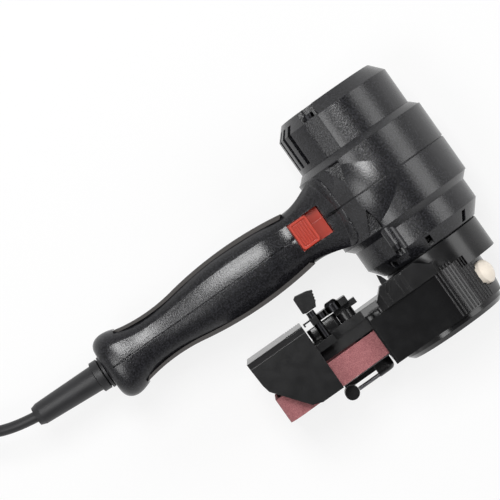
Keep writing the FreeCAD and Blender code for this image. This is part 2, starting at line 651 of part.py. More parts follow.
collar = turned_piece("swivel_collar", ("nose_radius + running_play", "-collar_back"),
                      ("collar_radius - 0.4", "-collar_back"),
                      ("collar_radius", "-collar_back - 0.4"), ("collar_radius", "-collar_front"),
                      ("22.1", "-collar_front"), ("22.1", "-48.4"),
                      ("nose_radius + running_play", "-48.4"))
add_slab(collar, "collar_front", "skirt_front",
         ("8", "-sqrt(collar_radius ^ 2 - 64)"), ("collar_radius", "0", "collar_radius"),
         ("8", "sqrt(collar_radius ^ 2 - 64)", "collar_radius"),
         ("8", "sqrt((cover_radius + 0.4) ^ 2 - (8 - hub_centre) ^ 2)"),
         ("8", "-sqrt((cover_radius + 0.4) ^ 2 - (8 - hub_centre) ^ 2)", "-cover_radius - 0.4"))
turned_piece("swivel_retainer", ("nose_radius - 1.4", "-48.6"), ("21.8", "-48.6"),
             ("21.8", "-50"), ("nose_radius - 1.4", "-50"))

FRAME_OUTLINE = (("arm_end", "-arm_end_half"), ("arm_mid", "-arm_mid_half"),
                 ("hub_joint_x", "-hub_joint_half"),
                 ("hub_centre + hub_radius", "0", "hub_radius"),
                 ("hub_joint_x", "hub_joint_half", "hub_radius"),
                 ("arm_mid", "arm_mid_half"), ("arm_end", "arm_end_half"))
frame = slab("cassette_frame", "frame_back", "frame_front", *FRAME_OUTLINE)
bore(frame, "0", "0", "collar_radius + 0.2", "frame_back", "collar_front + 0.05")
cut_slab(frame, "frame_back + frame_web", "frame_front",
         ("arm_end - 1", "-arm_end_half + frame_rim"), ("arm_mid", "-arm_mid_half + frame_rim"),
         ("-31", "-17"), ("-31", "17"), ("arm_mid", "arm_mid_half - frame_rim"),
         ("arm_end - 1", "arm_end_half - frame_rim"))
cut_slab(frame, "carriage_back - 0.4", "frame_front + 1",
         *box_corners("arm_end - 1", "-20", "arm_end + 1.3", "20"))
for level in (1, -1):
    cut_slab(frame, "49.1", "frame_front + 1",
             ("arm_end - 1", f"{level} * (arm_end_half - 0.6)"),
             ("arm_mid", f"{level} * (arm_mid_half - 0.6)"),
             ("hub_joint_x", f"{level} * (hub_joint_half - 0.6)"),
             ("hub_joint_x", f"{level} * 26"), ("arm_end - 1", f"{level} * 26"))
bore(frame, "0", "0", "9", "frame_back", "frame_front")
boss(frame, "pivot_x", "0", "post_radius", "frame_back + 1", "belt_front + 0.3")
bore(frame, "pivot_x", "0", "stud_radius + running_play", "frame_back", "belt_front + 1")
for side in (1, -1):
    add_slab(frame, "frame_back + 1", "frame_front",
             *box_corners("-83", f"{side} * 6.3", "-56", f"{side} * 8"))
add_slab(frame, "frame_back + 1", "frame_front - 0.5", *box_corners("-68", "-3", "-66", "3"))
add_slab(frame, "frame_back - 3.9", "frame_back + 1", *box_corners("-86", "-6", "-73", "6"))
cut_slab(frame, "collar_front", "frame_front",
         ("hub_centre + 21 * cos(button_angle)", "21 * sin(button_angle)"),
         ("hub_centre + 22 * cos(button_angle) + 7 * sin(button_angle)",
          "22 * sin(button_angle) - 7 * cos(button_angle)"),
         ("hub_centre + 32 * cos(button_angle)", "28 * sin(button_angle) - 3"),
         ("hub_centre + 30 * cos(button_angle) - 7 * sin(button_angle)",
          "30 * sin(button_angle) + 7 * cos(button_angle)"))

saddle = slab("cassette_saddle", "39.9", "collar_front",
              ("-36.7", "19.3"), ("hub_joint_x", "hub_joint_half + 0.2"),
              ("-5.4", "24.95", "-hub_radius - 0.1"), ("-4.7", "25.1"), ("-4.7", "saddle_top"),
              ("-33.5", "saddle_top"), ("-36.7", "saddle_top - 3"))
cut_upright(saddle, "15", "35", ("-38", "-39"), ("-31.5", "-39"), ("-31.5", "-39.9"),
            ("-36.7", "-45.2"), ("-38", "-45.2"))
cut_upright(saddle, "15", "35", ("-14.1", "-39"), ("-3", "-39"), ("-3", "-45"), ("-6.4", "-45"))
for x, lean, back, front, width in (("-28.9", -2.2, "-40.6", "-44.6", 0.6),
                                    ("-26.1", -3.1, "-40.2", "-44.6", 0.6),
                                    ("-30.6", 0, "-44.9", "-50.3", 0.5),
                                    ("-24.4", 0, "-41.2", "-50.3", 0.5),
                                    ("-21.6", 0, "-40.7", "-50.3", 1.6)):
    add_upright(saddle, "saddle_top - 0.5", "saddle_top + 0.7", (x, back),
                (f"{x} + {lean}", front), (f"{x} + {lean} + {width}", front),
                (f"{x} + {width}", back))
cut_upright(saddle, "saddle_top - 1.2", "saddle_top + 1",
            *box_corners("-5.8", "-51", "-4", "-39"))
add_upright(saddle, "25.4", "29", ("-30.2", "-40.6"), ("-30.2", "-38.6"), ("-29.6", "-34.7"),
            ("-28.2", "-36.4"), ("-26.6", "-40.6"))

FRAME_SCREW_ANGLES = (118, 160, 200, 242)
FRAME_SCREW_CIRCLE = 23.6
screws = []
for angle in FRAME_SCREW_ANGLES:
    x, z = (FRAME_SCREW_CIRCLE * math.cos(math.radians(angle)),
            FRAME_SCREW_CIRCLE * math.sin(math.radians(angle)))
    for body in (frame, collar):
        bore(body, str(x), str(z), "1.05", "43", "frame_front + 1")
    head = rod("head", "2", "1.4", V(x, -value("frame_front"), z), V(0, -1, 0))
    shank = rod("shank", "1", "10.8", V(x, -44, z), V(0, -1, 0))
    screw = doc.addObject("Part::Fuse", "screw")
    screw.Base, screw.Tool = shank, head
    screws.append(screw)
joined("cassette_screws", screws)

# Abrasive belt over its three pulleys


def belt_loop(drawing, offset):
    """The belt's path at a distance outside the pulleys: straight runs and arcs round them."""
    large, small = value("drive_radius") + offset, value("idler_radius") + offset
    along, up = value("idler_x"), value("idler_height")
    lean = math.atan2(up, along) - math.acos((large - small) / math.hypot(along, up))
    across, rise = math.cos(lean), math.sin(lean)
    left = along - small
    return outline(
        drawing,
        (across * large, rise * large, str(large)),
        (along + across * small, up + rise * small),
        (left, up, str(small)), (left, -up),
        (along + across * small, -up - rise * small, str(small)),
        (across * large, -rise * large),
        (large, 0, str(large)))


belt = new_body("abrasive_belt")
drawing = sketch_on(belt, "XZ_Plane", "belt_back")
belt_loop(drawing, value("belt_gap + belt_thick"))
belt_loop(drawing, value("belt_gap"))
extrude(belt, drawing, "belt_front - belt_back")

# Tension carriage, tracking arm and the two idlers

carriage = slab("tension_carriage", "carriage_back", "carriage_front",
                ("head_left", "-24.6"), ("head_right", "-24.6"), ("head_right", "-5.8"),
                ("-61", "-5.8"), ("-61", "5.8"), ("head_right", "5.8"), ("head_right", "14.2"),
                ("head_left", "14.2"))
add_slab(carriage, "47.3", "carriage_back + 0.5", *box_corners("-88", "-5.8", "-61", "5.8"))
cut_slab(carriage, "47", "55", *box_corners("-84", "-4", "-65.5", "4"))
rod("lower_axle", "axle_radius", "17.8", V(value("idler_x"), -50, -value("idler_height")),
    V(0, -1, 0))
pieces["lower_axle"] = doc.getObject("lower_axle")
bore(carriage, "idler_x", "-idler_height", "axle_radius", "carriage_back", "carriage_front")
add_slab(carriage, "45.9", "carriage_back + 0.5", *box_corners("-97", "10", "-90.6", "14.5"))
trunnion = circle(sketch_on(carriage, "XY_Plane", "14"), "idler_x", "-pivot_y", "trunnion_radius")
extrude(carriage, trunnion, "3.8")

arm = slab("tracking_arm", "45.6", "49.4",
           ("-98", "14.8"), ("-90", "14.8"), ("-87", "17"), ("-61.5", "17"), ("-61.5", "24.2"),
           ("-98", "24.8"))
bore(arm, "idler_x", "idler_height", "axle_radius", "45.6", "49.4")
socket = circle(sketch_on(arm, "XY_Plane", "14"), "idler_x", "-pivot_y",
                "trunnion_radius + running_play")
extrude(arm, socket, "4", cut=True)
cut_upright(arm, "23.4", "26", ("-67.2", "-45.5"), ("-62.4", "-45.5"), ("-64.8", "-49.2"))
rod("upper_axle", "axle_radius", "22.2", V(value("idler_x"), -45.6, value("idler_height")),
    V(0, -1, 0))
pieces["upper_axle"] = doc.getObject("upper_axle")

for label, side in (("upper_idler", 1), ("lower_idler", -1)):
    idler = turned_piece(label, ("axle_radius + running_play", "-55.6"), ("5", "-55.6"),
                         ("idler_radius - 0.2", "-56.2"), ("idler_radius", "-60"),
                         ("idler_radius", "-63.6"), ("idler_radius - 0.2", "-67.4"),
                         ("5", "-67.9"), ("axle_radius + running_play", "-67.9"))
    idler.Placement.Base = V(value("idler_x"), 0, side * value("idler_height"))

# Wound tubes: the carriage's spring and the stored lead follow arcs fitted between points


def joining_arcs(start, heading, end, last_heading):
    """Two arcs that leave a point along one heading and reach another along a second heading."""
    across = end - start
    both = heading + last_heading
    a = 2 * (1 - heading.dot(last_heading))
    b = across.dot(both)
    c = across.dot(across)
    if abs(a) < 1e-9:
        reach = c / (4 * across.dot(last_heading))
    else:
        reach = (-b + math.sqrt(b * b + a * c)) / a
    middle = ((start + heading * reach) + (end - last_heading * reach)) * 0.5

    def arc(point, direction, goal):
        chord = goal - point
        bend = chord - direction * direction.dot(chord)
        if bend.Length < 1e-6 * chord.Length:
            return Part.LineSegment(point, goal).toShape()
        bend = bend.normalize()
        radius = chord.dot(chord) / (2 * chord.dot(bend))
        centre = point + bend * radius
        half = ((point + goal) * 0.5 - centre).normalize()
        if direction.dot(chord) < 0:
            half = half * -1
        return Part.Arc(point, centre + half * radius, goal).toShape()

    return [arc(start, heading, middle), arc(end, last_heading * -1, middle)]


def wound_tube(points, headings, radius):
    """A round tube along arcs through points, each with the heading of the tube there."""
    edges = []
    for number in range(len(points) - 1):
        first, second = joining_arcs(points[number], headings[number],
                                     points[number + 1], headings[number + 1])
        edges.append(first)
        edges.append(second)
    path = Part.Wire(Part.__sortEdges__(edges))
    section = Part.Wire(Part.Circle(points[0], headings[0], radius).toShape())
    return path, path.makePipeShell([section], True, False)


# coil spring in the carriage's slot, between its closed end and the frame's peg
spring_turns = 7
spring_radius, wire_radius = 2.6, 0.4
spring_start, spring_length = -83.5, 15.0
points = []
headings = []
steps = spring_turns * 4
for step in range(steps + 1):
    angle = step * math.pi / 2
    points.append(V(spring_start + spring_length * step / steps,
                    -50.9 + spring_radius * math.cos(angle), spring_radius * math.sin(angle)))
    rise = spring_length / steps / (math.pi / 2)
    headings.append(V(rise, -spring_radius * math.sin(angle),
                      spring_radius * math.cos(angle)).normalize())
spring = doc.addObject("Part::Feature", "tension_spring")
spring.Label = "tension_spring"
spring.Shape = wound_tube(points, headings, wire_radius)[1]
pieces["tension_spring"] = spring

# Tension lever on its stud, with rod and knob, and the keeper plate

keeper = slab("keeper_plate", "belt_front + 0.5", "belt_front + 1.5",
              *box_corners("-62.5", "-5.6", "-45", "5.6"))
bore(keeper, "pivot_x", "0", "stud_radius + running_play", "belt_front", "belt_front + 2")

lever = slab("tension_lever", "belt_front + 1.7", "76",
             ("-54.5", "-4.4"), ("pivot_x", "-4.4"), ("pivot_x + 4.4", "0", "4.4"),
             ("pivot_x", "4.4", "4.4"), ("-54.5", "4.4"))
soften(lever, "Fillet", "2.4", lambda edge: edge.Curve.TypeId == "Part::GeomCircle"
       and edge.BoundBox.YMax < -75.9)
boss(lever, "pivot_x", "0", "stud_radius", "frame_back + 0.3", "belt_front + 2")
add_slab(lever, "belt_front + 1.7", "72.1", *box_corners("-71", "-3", "-54", "3"))
knob_seat = circle(sketch_on(lever, "XY_Plane", "-3.5"), "-69.7", "-74.3", "3.7")
extrude(lever, knob_seat, "7", cut=True)
rod("lever_rod", "0.95", "11.6", V(-66.1, -74.9, 0), V(1, 0, 0))
pieces["lever_rod"] = doc.getObject("lever_rod")
rod("lever_knob", "3.5", "11", V(-69.7, -74.3, -5.5), V(0, 0, 1))
pieces["lever_knob"] = doc.getObject("lever_knob")

# Tracking bracket, screw and wing knob

bracket = slab("tracking_bracket", "34", "37.4", *box_corners("-66.7", "10", "-47", "25.5"))
add_slab(bracket, "34.2", "35", *box_corners("-70.4", "20.1", "-66.6", "20.9"))
add_slab(bracket, "34.2", "36", *box_corners("-70.4", "20.1", "-69.6", "20.9"))
bore(bracket, "-64.4", "20.5", "2.05", "34", "37.4")
for left, low, right in (("-58", "18.5", "-51"), ("-63.1", "20.2", "-58.5")):
    cut_upright(bracket, low, "26", *box_corners(left, "-37.5", right, "-33.9"))
add_slab(bracket, "37.4", "40.3", *box_corners("-55.5", "9.5", "-43.7", "16.5"))
boss(bracket, "-51.2", "12.6", "4.2", "40.3", "frame_back")
cap_screw = new_body("bracket_cap")
turn(cap_screw, outline(sketch_on(cap_screw, "XY_Plane"), ("0", "-32.2"), ("0", "-37.4"),
                        ("3.3", "-37.4"), ("3.3", "-34"), ("2.1", "-32.2", "2.1")))
cap_screw.Placement.Base = V(-54.5, 0, 21.9)
del pieces["bracket_cap"]
nut = rod("bracket_nut", "2.1", "3", V(-60.7, -34, 22.7), V(0, -1, 0))
joined("bracket_screw", [cap_screw, nut])
rod("tracking_screw", "2", "14", V(-64.4, -31.2, 20.5), V(0, -1, 0))
pieces["tracking_screw"] = doc.getObject("tracking_screw")

# The wing knob leans back; its right side has grip ribs, set off by a groove
knob = new_body("tracking_knob")
ribs = [("-57.7", "-24"), ("-58.4", "-24.8"), ("-58.1", "-25.4"), ("-58.8", "-26.2"),
        ("-58.5", "-26.8"), ("-59.2", "-27.6"), ("-58.9", "-28.2"), ("-59.6", "-29")]
extrude(knob, outline(sketch_on(knob, "XY_Plane", "17.8"), ("-67.6", "-30.2"), ("-66", "-30.9"),
                      ("-60.6", "-30.9"), *reversed(ribs), ("-57.7", "-23.4"),
                      ("-60.2", "-22.4"), ("-66", "-21.4"), ("-67.4", "-22.4")), "5.4")
cut_upright(knob, "22.6", "24", ("-62.3", "-31.5"), ("-61.8", "-31.5"), ("-60.9", "-22"),
            ("-61.4", "-22"))

# Blade guide: a cage over the far end of the belt, with a slot above and below it

guide = new_body("blade_guide")
extrude(guide, outline(sketch_on(guide, "XY_Plane", "-guide_half"),
                       ("guide_left", "-guide_back"), ("guide_left + 0.6", "-guide_cut_y + 4"),
                       ("guide_left + 1.4", "-guide_cut_y"), ("guide_cut_x", "-guide_front"),
                       ("guide_right", "-guide_front"), ("guide_right", "-guide_back")),
        "2 * guide_half")
cut_upright(guide, "-guide_half + guide_wall", "guide_half - guide_wall",
            *box_corners("guide_left + 2.4", "-guide_front - 1", "guide_right + 1",
                         "-guide_back - 2.7"))
add_slab(guide, "guide_back + 1", "frame_back - 0.3", *box_corners("-99", "-9", "-72", "9"))
cut_slab(guide, "frame_back - 4.2", "frame_back", *box_corners("-86.3", "-6.3", "-71", "6.3"))
for level in (1, -1):
    band = outline(sketch_on(guide, "YZ_Plane", "guide_left - 1"),
                   ("-guide_back + 0.1", f"{level} * (guide_half - 1.7)"),
                   ("-guide_back - 2.9", f"{level} * (guide_half + 0.02)"),
                   ("-guide_back + 0.1", f"{level} * (guide_half + 1)"))
    extrude(guide, band, "34", cut=True)
    teeth = []
    for number in range(8):
        start = -80.2 + 1.2 * number
        teeth += [(f"{start}", "-guide_back + 1"), (f"{start}", "-guide_back - 0.5"),
                  (f"{start} + 0.6", "-guide_back - 0.5"), (f"{start} + 0.6", "-guide_back + 1")]
    low, high = ("28", "36") if level > 0 else ("-36", "-28")
    cut_upright(guide, low, high, *teeth, ("-70.5", "-guide_back + 2"), ("-81", "-guide_back + 2"))
cut_upright(guide, "-36", "36", ("guide_cut_x - 1", "-guide_front + 1.6"),
            ("guide_cut_x + 3.4", "-guide_front + 0.01"), ("guide_cut_x - 1", "-guide_front - 1"))

# Belt cover and its boss disc, drawn about the centre of the cover's round end

cover = new_body("belt_cover")
COVER_OUTLINE = (("cover_left - hub_centre", "-cover_left_half"),
                 ("cover_joint_x - hub_centre", "-cover_joint_half"),
                 ("cover_radius", "0", "cover_radius"),
                 ("cover_joint_x - hub_centre", "cover_joint_half", "cover_radius"),
                 ("cover_left - hub_centre", "cover_left_half"))
drawing = outline(sketch_on(cover, "XZ_Plane", "cover_back"), *COVER_OUTLINE)
extrude(cover, drawing, "cover_front - cover_back")
cut_slab(cover, "cover_back", "cover_front - cover_wall",
         ("cover_left - hub_centre - 1", "-cover_left_half + cover_wall"),
         ("cover_joint_x - hub_centre", "-cover_joint_half + cover_wall"),
         ("cover_radius - cover_wall", "0", "cover_radius - cover_wall"),
         ("cover_joint_x - hub_centre", "cover_joint_half - cover_wall",
          "cover_radius - cover_wall"),
         ("cover_left - hub_centre - 1", "cover_left_half - cover_wall"))
lip = "cover_left - hub_centre"
add_slab(cover, "47.7", "cover_front", *box_corners(f"{lip} - 0.6", "22.4", f"{lip} + 0.5", "25.2"))
add_slab(cover, "47.7", "48.5", *box_corners(f"{lip} - 0.6", "22.8", f"{lip} + 7", "24.9"))
add_slab(cover, "47.7", "51", *box_corners(f"{lip} + 6.2", "22.8", f"{lip} + 7", "24.9"))


def ring_sector(inner, outer, start, end):
    """Corners of a small sector between two radii and two angles."""
    return (on_circle(inner, start), on_circle(outer, start),
            on_circle(outer, end), on_circle(inner, end))


groove = cut_slab(cover, "cover_back - 1", "cover_front + 1",
                  *ring_sector("cover_radius - 0.5", "cover_radius + 1", 83.9, 82.1))
repeat_round(cover, groove, 11, 41)
cut_slab(cover, "51", "58", *ring_sector("cover_radius - 4", "cover_radius + 1", 28, 11))
cut_upright(cover, "-30", "30", ("cover_radius + 1", "-cover_front + 5.2"),
            ("cover_radius", "-cover_front + 5.2"), ("cover_radius - 1.6", "-cover_front"),
            ("cover_radius - 1.6", "-cover_front - 1"), ("cover_radius + 1", "-cover_front - 1"))
cover.Placement.Base = V(value("hub_centre"), 0, 0)
button_way = V(math.cos(math.radians(value("button_angle"))), 0,
               math.sin(math.radians(value("button_angle"))))

disc = turned_piece("cover_disc", ("0", "-cover_front"), ("disc_radius", "-cover_front"),
                    ("disc_radius", "-cover_front - 2.2"), ("disc_radius - 2", "-disc_front"),
                    ("0", "-disc_front"))
disc.Placement.Base = V(-12, 0, 0)

button = new_body("release_button")
turn(button, outline(sketch_on(button, "XZ_Plane"), ("0", "23.8"), ("6.6", "23.8"), ("6.6", "24.8"),
                     ("button_radius", "24.8"), ("button_radius", "button_rim"),
                     ("0", "button_rim + button_rise",
                      "(button_radius ^ 2 + button_rise ^ 2) / (2 * button_rise)")))
button.Placement = FreeCAD.Placement(
    V(value("hub_centre"), -value("button_y"), 0), FreeCAD.Rotation(V(0, 0, 1), button_way))

doc.recompute()
hole = rod("button_hole", "button_radius + 0.3", "12",
           V(value("hub_centre"), -value("button_y"), 0) + button_way * 20, button_way)
pierced = doc.addObject("Part::Cut", "belt_cover_pierced")
pierced.Base = cover
pierced.Tool = hole
pieces["belt_cover"] = pierced
cover.Label = "cover_shell"
pierced.Label = "belt_cover"

# Fasteners of the housing

screws = []
for angle in BARREL_SCREW_ANGLES:
    x, z = (SCREW_CIRCLE * math.cos(math.radians(angle)), SCREW_CIRCLE * math.sin(math.radians(angle)))
    shank = rod("shank", "screw_radius", "40.4", V(x, -28.7, z), V(0, 1, 0))
    head = rod("head", "head_radius", "2.2", V(x, -30.9, z), V(0, 1, 0))
    screw = doc.addObject("Part::Fuse", "screw")
    screw.Base, screw.Tool = shank, head
    screws.append(screw)
for x, z in HANDLE_SCREWS:
    shank = rod("shank", "screw_radius", "17.6", V(float(x), -9.1, float(z)), V(0, 1, 0))
    head = rod("head", "head_radius", "2.2", V(float(x), -11.3, float(z)), V(0, 1, 0))
    screw = doc.addObject("Part::Fuse", "screw")
    screw.Base, screw.Tool = shank, head
    screws.append(screw)
joined("housing_screws", screws)

screws = []
for angle in CAP_SCREW_ANGLES:
    x = value("cap_screw_circle") * math.cos(math.radians(angle))
    z = value("cap_screw_circle") * math.sin(math.radians(angle))
    shank = rod("shank", "screw_radius", "25.6", V(x, 41.4, z), V(0, -1, 0))
    head = rod("head", "head_radius", "2.4", V(x, 43.8, z), V(0, -1, 0))
    screw = doc.addObject("Part::Fuse", "screw")
    screw.Base, screw.Tool = shank, head
    screws.append(screw)
joined("cap_screws", screws)

# Strain relief, mains lead and plug

relief = new_body("strain_relief")
turn(relief, outline(sketch_on(relief, "XZ_Plane"), ("cord_radius", "0"), ("4.6", "0"),
                     ("5.5", "2.8"), ("6.4", "33.5"), ("7.7", "34"), ("7.7", "37.6"),
                     ("6.4", "38"), ("8.1", "38.4"), ("8.1", "39.5"), ("5.8", "39.7"), ("5.8", "51"),
                     ("cord_radius", "51")))
lean = math.radians(value("relief_lean"))
relief_way = V(math.cos(lean), -math.sin(lean), 0)
relief.Placement = FreeCAD.Placement(V(value("relief_tip"), 1.9, 0),
                                     FreeCAD.Rotation(V(0, 0, 1), relief_way))

# The lead: inside the tool, then free to the surface, then stored in a coil of two layers


def lead_tube(label, points, radius):
    """A round tube of straight runs joined by arcs as large as the runs allow."""
    edges = []
    radii = []
    begin = points[0]
    for before, corner, after in zip(points, points[1:], points[2:]):
        back, ahead = (before - corner), (after - corner)
        half_turn = (math.pi - back.getAngle(ahead)) / 2
        cut = 0.45 * min(back.Length, ahead.Length)
        first, last = corner + back.normalize() * cut, corner + ahead.normalize() * cut
        bend = cut / math.tan(half_turn)
        radii.append(round(bend, 1))
        inward = (back + ahead).normalize()
        middle = corner + inward * (bend / math.cos(half_turn) - bend)
        edges += [Part.LineSegment(begin, first).toShape(), Part.Arc(first, middle, last).toShape()]
        begin = last
    edges.append(Part.LineSegment(begin, points[-1]).toShape())
    path = Part.Wire(edges)
    section = Part.Wire(Part.Circle(points[0], points[1] - points[0], radius).toShape())
    tube = doc.addObject("Part::Feature", label)
    tube.Label = label
    tube.Shape = path.makePipeShell([section], True, False)
    pieces[label] = tube
    print(label, "bend radii", radii, "length", round(path.Length, 1), "volume against section",
          round(tube.Shape.Volume / (math.pi * radius ** 2 * path.Length), 4))
    return tube


def least_gap(path, radius):
    """The least gap between a wound tube and itself, measured on points along its path."""
    places = path.discretize(Number=int(path.Length / 2))
    apart = int(3 * radius)
    closest = min(a.distanceToPoint(b) for number, a in enumerate(places)
                  for b in places[number + apart:])
    return closest - 2 * radius


tip = V(value("relief_tip"), 1.9, 0)
floor_height = value("cord_radius - flange_radius")
lead_tube("inner_lead", [tip, tip + relief_way * 54, V(-59, -0.5, 0)], 2.6)

turns_per_layer = 4
cord_radius, pitch = value("cord_radius"), value("turn_pitch")
outer_radius = value("coil_inner") + pitch * turns_per_layer
coil_entry = V(-300, 42, floor_height)
straight = 2 * cord_radius
dip = 1.5


def coil_place(angle, centre):
    """The coil's line: in on the surface, up one layer in half a turn, out on the second."""
    inward = 2 * math.pi * turns_per_layer
    if angle <= inward:
        radius, rise = outer_radius - pitch * angle / (2 * math.pi), 0
    elif angle <= inward + math.pi:
        part = (angle - inward) / math.pi
        radius = value("coil_inner") - dip * math.sin(math.pi * part)
        rise = pitch * (1 - math.cos(math.pi * part)) / 2
    else:
        radius = value("coil_inner") + pitch * (angle - inward - math.pi) / (2 * math.pi)
        rise = pitch
    return centre + V(-radius * math.sin(angle), radius * math.cos(angle), rise)


def coil_heading(angle, centre, step=1e-4):
    return (coil_place(angle + step, centre) - coil_place(angle - step, centre)).normalize()


entry_way = coil_heading(0, V(0, 0, 0))
centre = coil_entry + entry_way * straight - V(0, outer_radius, 0)
steps = 4 * 2 * turns_per_layer
points = [coil_entry]
headings = [entry_way]
for step in range(steps + 1):
    points.append(coil_place(step * math.pi / 2, centre))
    headings.append(coil_heading(step * math.pi / 2, centre))
exit_way = V(headings[-1].x, headings[-1].y, 0).normalize()
headings[-1] = exit_way
points.append(points[-1] + exit_way * 26)
headings.append(exit_way)
path, tube = wound_tube(points, headings, cord_radius)
coil = doc.addObject("Part::Feature", "cord_coil")
coil.Label = "cord_coil"
coil.Shape = tube
pieces["cord_coil"] = coil
print("cord_coil length", round(path.Length, 1), "least gap", round(least_gap(path, cord_radius), 2),
      "volume against section", round(tube.Volume / (math.pi * cord_radius ** 2 * path.Length), 4))

lead_tube("cord_free", [
    tip, V(-211, 3.6, -0.8), V(-226.5, 11.5, -5.2), V(-241, 20.8, -14), V(-254.5, 29.5, -23.5),
    V(-268.5, 37.5, -30.2), coil_entry - entry_way * 16, coil_entry], cord_radius)

plug_start = points[-1]
plug = new_body("plug_body")
turn(plug, outline(sketch_on(plug, "XY_Plane"), ("0", "0"), ("0", "4.2"), ("20", "6.2"),
                   ("26", "7"), ("26", "0")), axis="H_Axis")
extrude(plug, outline(sketch_on(plug, "YZ_Plane", "20"), ("-9", "-plug_half"), ("9", "-plug_half"),
                      ("13.5", "-4"), ("13.5", "4"), ("9", "plug_half"), ("-9", "plug_half"),
                      ("-13.5", "4"), ("-13.5", "-4")), "21")
soften(plug, "Fillet", "3", lambda edge: edge.BoundBox.XLength < 0.01
       and abs(edge.BoundBox.XMin - 20) < 0.01 and edge.BoundBox.DiagonalLength > 1
       and edge.Curve.TypeId == "Part::GeomLine")
lying = FreeCAD.Placement(plug_start, FreeCAD.Rotation(V(1, 0, 0), exit_way))
plug.Placement = lying
pins = []
for side in (1, -1):
    pins.append(rod("plug_pin", "pin_radius", "pin_length",
                    lying.multVec(V(41, 9.5 * side, 0)), exit_way))
plug_pins = doc.addObject("Part::Compound", "plug_pins")
plug_pins.Label = "plug_pins"
plug_pins.Links = pins
pieces["plug_pins"] = plug_pins

doc.recompute()

# Shift every piece into the row's frame, check it and write it

shift = V(value("row_shift_x"), value("row_shift_y"), value("flange_radius"))
for piece in pieces.values():
    piece.Placement.Base = piece.Placement.Base + shift
doc.recompute()

faults = [item.Name for item in doc.Objects
          if "Invalid" in item.State or "Error" in item.State]
for label, piece in pieces.items():
    if piece.Shape.isNull() or not piece.Shape.isValid():
        faults.append(label)
if faults:
    raise SystemExit("failed: " + ", ".join(faults))

os.makedirs("parts", exist_ok=True)
for label, piece in pieces.items():
    piece.Shape.exportStep(f"parts/{label}.step")
print(len(pieces), "pieces")
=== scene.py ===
import math

import bmesh
import bpy
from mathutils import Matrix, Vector


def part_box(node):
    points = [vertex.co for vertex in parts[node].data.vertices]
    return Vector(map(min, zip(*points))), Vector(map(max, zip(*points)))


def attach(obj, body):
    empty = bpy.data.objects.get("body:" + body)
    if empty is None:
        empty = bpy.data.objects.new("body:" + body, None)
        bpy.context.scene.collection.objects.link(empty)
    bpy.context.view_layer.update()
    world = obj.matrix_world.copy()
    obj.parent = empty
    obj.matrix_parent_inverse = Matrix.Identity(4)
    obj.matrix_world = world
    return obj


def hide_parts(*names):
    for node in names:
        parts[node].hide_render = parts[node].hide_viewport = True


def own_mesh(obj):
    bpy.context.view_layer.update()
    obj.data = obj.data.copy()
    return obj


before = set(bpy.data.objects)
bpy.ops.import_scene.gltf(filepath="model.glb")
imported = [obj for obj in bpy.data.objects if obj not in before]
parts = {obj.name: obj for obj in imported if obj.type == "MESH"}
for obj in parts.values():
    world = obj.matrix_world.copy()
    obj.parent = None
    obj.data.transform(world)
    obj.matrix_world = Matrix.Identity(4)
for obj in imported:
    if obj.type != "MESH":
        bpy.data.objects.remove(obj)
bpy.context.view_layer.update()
MM = 0.001

# The tool is drawn from its motor: X along the handle towards the motor, Y along the motor's axis
# towards its vented cap, Z up from that axis. The barrel's box gives the axis in the frame.

barrel_low, barrel_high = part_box("drive_pulley")
motor_axis = Vector(((barrel_low.x + barrel_high.x) / 2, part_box("rear_housing")[0].y,
                     (barrel_low.z + barrel_high.z) / 2))


def tool(x, y, z):
    """A point given in millimetres from where the motor's axis crosses the housing's parting."""
    return motor_axis + Vector((x, y, z)) * MM


# Camera: it looks straight down on the tool, which lies on its side, and is rolled so that the
# handle rises to the right.

ROLL = math.radians(35.2)
VIEW_WIDTH = 235 * MM
VIEW_CENTRE = (-70.4, 8.0, 0)
CAMERA_HEIGHT = 1200 * MM
SENSOR_WIDTH = 36
camera_data = bpy.data.cameras.new("camera")
camera_data.sensor_width = SENSOR_WIDTH
camera_data.lens = SENSOR_WIDTH * CAMERA_HEIGHT / VIEW_WIDTH
camera = bpy.data.objects.new("camera", camera_data)
camera.location = tool(*VIEW_CENTRE) + Vector((0, 0, CAMERA_HEIGHT))
camera.rotation_euler = (0, 0, -ROLL)
bpy.context.scene.collection.objects.link(camera)
bpy.context.scene.camera = camera


def linear(colour):
    """An sRGB hex colour as linear red, green, blue and alpha."""
    channels = [int(colour[place:place + 2], 16) / 255 for place in (1, 3, 5)]
    return [c / 12.92 if c <= 0.04045 else ((c + 0.055) / 1.055) ** 2.4 for c in channels] + [1]


def add_node(tree, kind, settings=None, inputs=None):
    """Adds a node. Settings are its own properties, and inputs its sockets' values or links."""
    node = tree.nodes.new(kind)
    for name, setting in (settings or {}).items():
        setattr(node, name, setting)
    for name, source in (inputs or {}).items():
        if isinstance(source, bpy.types.NodeSocket):
            tree.links.new(source, node.inputs[name])
        else:
            node.inputs[name].default_value = source
    return node


def new_material(name):
    """An empty node material and its tree, with a principled shader wired to the output."""
    material = bpy.data.materials.new(name)
    material.use_nodes = True
    tree = material.node_tree
    tree.nodes.clear()
    shader = add_node(tree, "ShaderNodeBsdfPrincipled")
    add_node(tree, "ShaderNodeOutputMaterial", inputs={"Surface": shader.outputs[0]})
    return material, tree, shader


def rounded_edges(tree, radius):
    """Normals that round off the sharp edges of the CAD parts, as a mould or a file does."""
    return add_node(tree, "ShaderNodeBevel", {"samples": 4}, {"Radius": radius * MM}).outputs[0]


def wear(material, *names):
    """Gives a finish to parts of the tool that are shown as they were made."""
    for name in names:
        parts[name].data.materials.clear()
        parts[name].data.materials.append(material)


# Light: a white sweep in a photographer's tent, with a key soft box over the motor's cap and two
# weaker ones past the ends of the handle and the barrel. The floor shows white to the eye and in
# gloss, and still takes the tool's soft shadow.

